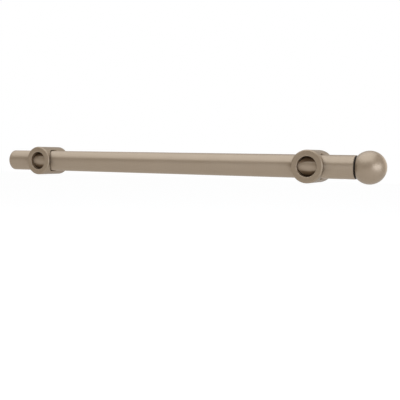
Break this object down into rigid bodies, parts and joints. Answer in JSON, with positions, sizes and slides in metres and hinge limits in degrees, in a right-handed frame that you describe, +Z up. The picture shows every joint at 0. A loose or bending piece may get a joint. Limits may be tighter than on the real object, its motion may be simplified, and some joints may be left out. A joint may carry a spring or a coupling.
{
  "type": "closet valet rod",
  "caption": "Closet valet rod: a tube carried across short ring brackets on a panel, with an inner rod and ball knob that pull out of its front end to hang clothes on.",
  "frame": {"origin": "on the panel's face, midway between the two panel screw holes", "axes": "+X along the rod towards the knob, +Y into the panel that the brackets are screwed to, +Z up"},
  "size_m": [0.37, 0.0311, 0.0266],
  "materials": {
    "satin_nickel": "warm satin nickel plating",
    "bright_nickel": "drawn and nickel plated, smooth from sliding",
    "plated_steel": "zinc plated",
    "black_acetal": "moulded, slightly waxy",
    "white_acetal": "moulded natural white",
    "black_rubber": "matte nitrile"
  },
  "bodies": {
    "housing": {"outer_tube": "satin_nickel", "rear_end_cap": "satin_nickel", "front_bush": "black_acetal", "front_bracket": "satin_nickel", "rear_bracket": "satin_nickel", "front_bracket_set_screw": "plated_steel", "rear_bracket_set_screw": "plated_steel"},
    "glide": {"piston": "white_acetal", "rear_friction_ring": "black_rubber", "front_friction_ring": "black_rubber"},
    "rod": {"inner_rod": "bright_nickel", "ball_knob": "satin_nickel", "knob_stud": "plated_steel", "stop_bumper": "black_rubber", "piston_washer": "plated_steel", "piston_screw": "plated_steel"}
  },
  "joints": [
    {"name": "rod_slide", "type": "slide", "parent": "housing", "child": "glide", "axis": [1, 0, 0], "range_m": [0, 0.254]},
    {"name": "rod_spin", "type": "hinge", "parent": "glide", "child": "rod", "pos_m": [0, -0.018, 0], "axis": [1, 0, 0], "continuous": true}
  ]
}
